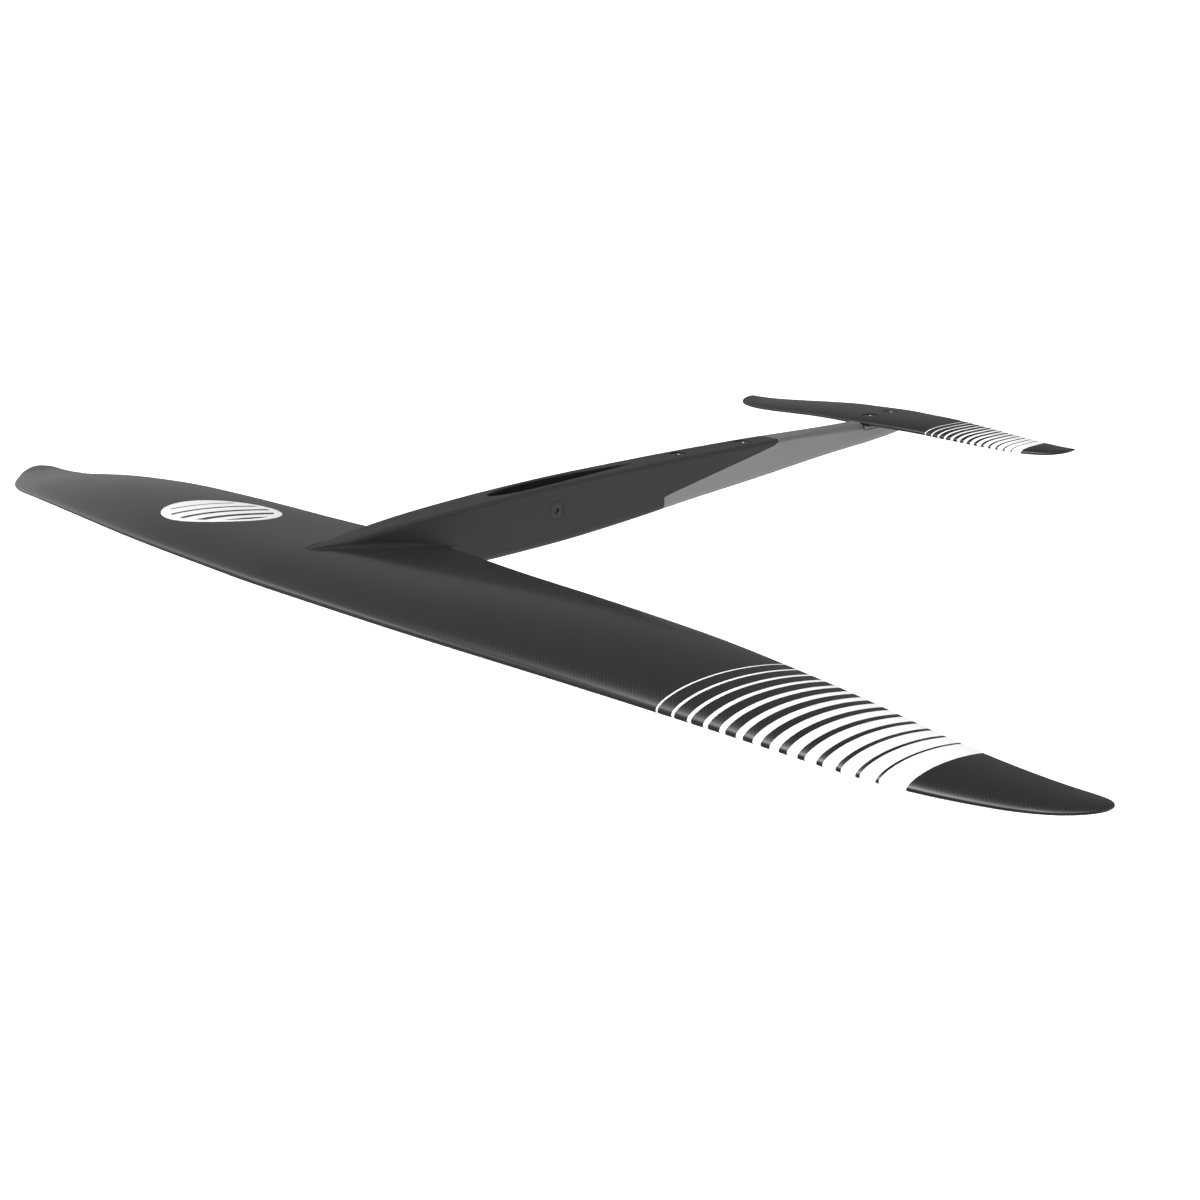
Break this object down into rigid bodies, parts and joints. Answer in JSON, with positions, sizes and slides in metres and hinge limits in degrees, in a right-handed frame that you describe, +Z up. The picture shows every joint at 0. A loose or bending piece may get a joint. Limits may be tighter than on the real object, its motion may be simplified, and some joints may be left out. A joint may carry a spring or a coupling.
{
  "type": "hydrofoil wing assembly",
  "caption": "High-aspect carbon front wing moulded to a slim fuselage with an open mast pocket, a scarf-jointed metal tail bar and a small tail stabiliser held by countersunk screws.",
  "frame": {"origin": "centre of the mast pocket's flat floor, under the axis of the mast cross screw", "axes": "+X along the wing's right span, +Y from nose to tail, +Z up and out of the mast pocket"},
  "size_m": [1.0352, 0.664, 0.0552],
  "materials": {
    "carbon": "satin clear coat over fine carbon weave",
    "foam_core": "closed-cell structural foam",
    "spar_laminate": "raw unidirectional carbon laminate",
    "anodised_bar": "fine-blasted grey anodised",
    "steel": "stainless, machined",
    "black_steel": "black-finished, machined",
    "insert": "machined threaded insert",
    "seat_pad": "fine-blasted grey anodised, as the bar"
  },
  "bodies": {
    "frame": {"front_wing_upper_skin": "carbon", "front_wing_lower_skin": "carbon", "front_wing_spar": "spar_laminate", "front_wing_nose_core": "foam_core", "front_wing_rear_core_left": "foam_core", "front_wing_rear_core_right": "foam_core", "front_fuselage": "carbon", "cross_screw_cup_washer": "black_steel", "cross_screw_insert": "insert", "rear_fuselage": "anodised_bar", "joint_screw_front": "steel", "joint_screw_rear": "steel", "joint_insert_front": "insert", "joint_insert_rear": "insert", "stabiliser_insert_front": "insert", "stabiliser_insert_rear": "insert", "stabiliser_seat_pad": "seat_pad"},
    "stabiliser": {"stabiliser_upper_skin": "carbon", "stabiliser_lower_skin": "carbon", "stabiliser_core_left": "foam_core", "stabiliser_core_right": "foam_core", "stabiliser_screw_front": "steel", "stabiliser_screw_rear": "steel"},
    "cross_screw": {"mast_cross_screw": "black_steel"}
  },
  "joints": [
    {"name": "stabiliser_rake", "type": "hinge", "parent": "frame", "child": "stabiliser", "pos_m": [0, 0.365, 0.022], "axis": [1, 0, 0], "range_deg": [-1, 1]},
    {"name": "cross_screw_travel", "type": "slide", "parent": "frame", "child": "cross_screw", "axis": [1, 0, 0], "range_m": [0, 0.03]}
  ]
}
